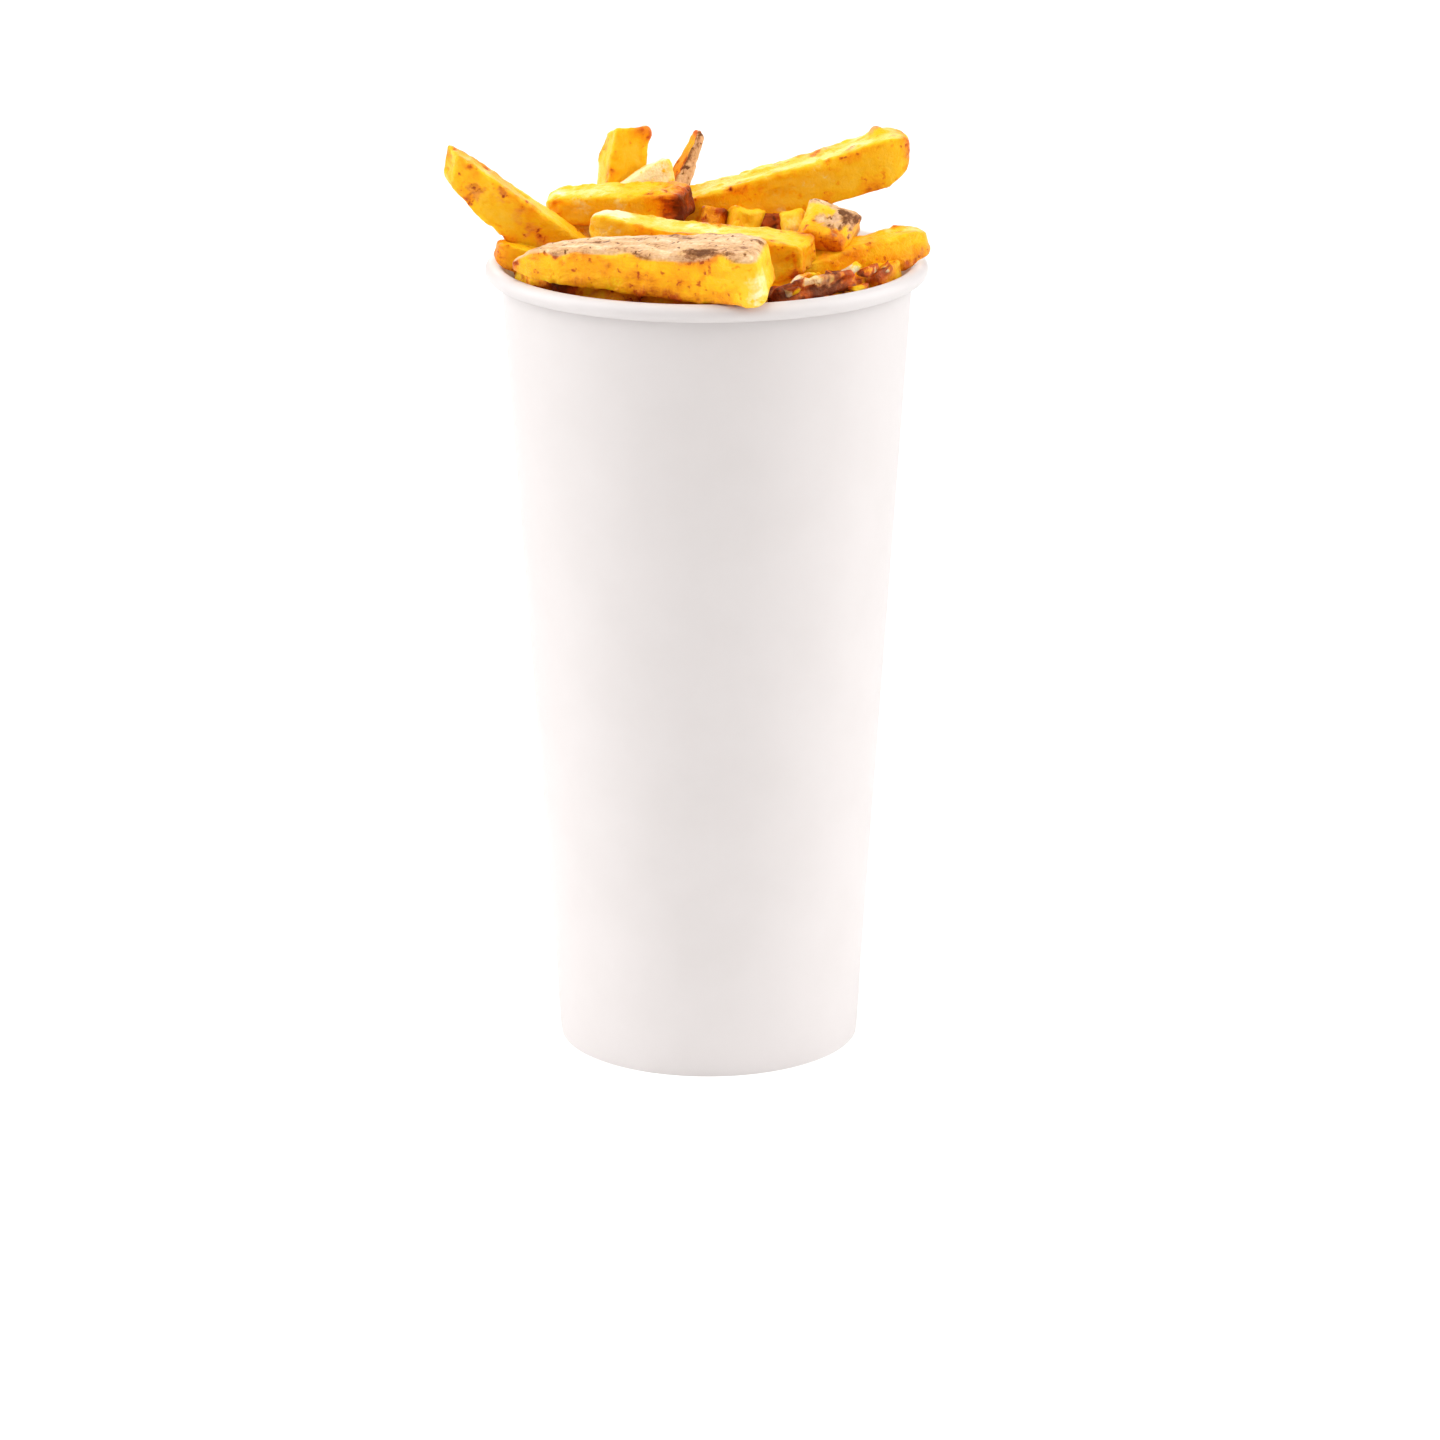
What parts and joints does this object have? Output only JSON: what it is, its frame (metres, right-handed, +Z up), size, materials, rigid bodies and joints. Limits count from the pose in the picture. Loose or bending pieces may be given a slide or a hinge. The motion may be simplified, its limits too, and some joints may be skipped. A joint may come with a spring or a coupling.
{
  "type": "cup of french fries",
  "caption": "Tall tapered paper cup with a rolled rim, heaped with thick-cut french fries that stick out over its mouth.",
  "frame": {"origin": "on the table, at the axis of the cup", "axes": "+Z up along the axis of the cup, +Y towards the cup's side seam; the picture's viewer stands 55 degrees clockwise of +X, seen from above"},
  "size_m": [0.0898, 0.0898, 0.1898],
  "materials": {
    "cup_board": "matte white coated board",
    "fried_potato": "golden fried potato, faintly oily"
  },
  "bodies": {
    "root": {"cup_wall": "cup_board", "cup_base": "cup_board", "fries": "fried_potato"}
  },
  "joints": []
}
